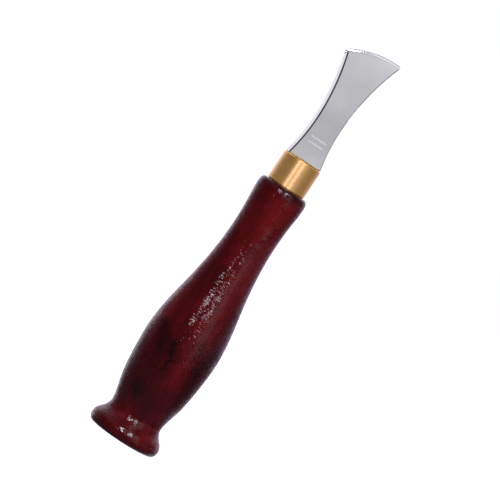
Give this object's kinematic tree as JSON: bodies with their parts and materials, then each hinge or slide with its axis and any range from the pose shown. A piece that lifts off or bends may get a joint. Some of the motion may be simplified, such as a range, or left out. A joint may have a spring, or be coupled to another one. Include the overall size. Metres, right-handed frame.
{
  "type": "leather edge creaser",
  "caption": "Fishtail edge creaser for leather: flat polished steel head with a grooved, skewed arc end, on a waisted turned hardwood handle with a brass ferrule.",
  "frame": {"origin": "centre of the flat butt of the handle", "axes": "+Z runs along the tool towards the working end, X lies across the width of the head and Y through its thickness; the guide lip and the etched size mark are on the -Y side, and the long corner of the arc is at +X"},
  "size_m": [0.0272, 0.0272, 0.1552],
  "materials": {
    "lacquered_wood": "dark mahogany red stain under gloss lacquer",
    "brass": "satin turned",
    "polished_steel": "polished, with an etched size mark",
    "epoxy": "cured glue, hidden"
  },
  "bodies": {
    "root": {"handle": "lacquered_wood", "ferrule": "brass", "creaser_head": "polished_steel", "tang_glue": "epoxy"}
  },
  "joints": []
}
